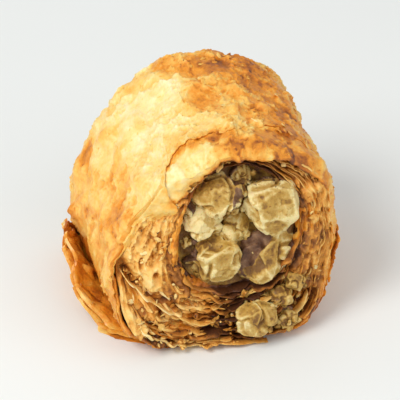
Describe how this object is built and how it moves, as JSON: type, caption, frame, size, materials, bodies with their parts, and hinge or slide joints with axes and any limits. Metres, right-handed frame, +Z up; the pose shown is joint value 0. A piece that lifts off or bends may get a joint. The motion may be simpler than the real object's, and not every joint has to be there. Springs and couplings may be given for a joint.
{
  "type": "rolled baklava piece",
  "caption": "Short cut length of rolled baklava: thin syrup-glazed pastry wound round broken walnuts, with flaky cut faces, a splayed foot and a loose end of pastry.",
  "frame": {"origin": "middle of the footprint box, on the surface that the piece stands on", "axes": "+Z up; the roll lies along Y, and its more open cut face, with the fallen walnut crumbs, looks towards -Y; the loose end of pastry is on the -X side"},
  "size_m": [0.037, 0.0356, 0.0311],
  "materials": {
    "pastry": "thin flaky baked pastry, pale gold to amber brown, with a thin syrup glaze",
    "walnut": "broken walnut, pale yellow-green kernel with brown skin, damp with syrup"
  },
  "bodies": {
    "root": {"pastry_roll": "pastry", "walnut_filling": "walnut"}
  },
  "joints": []
}
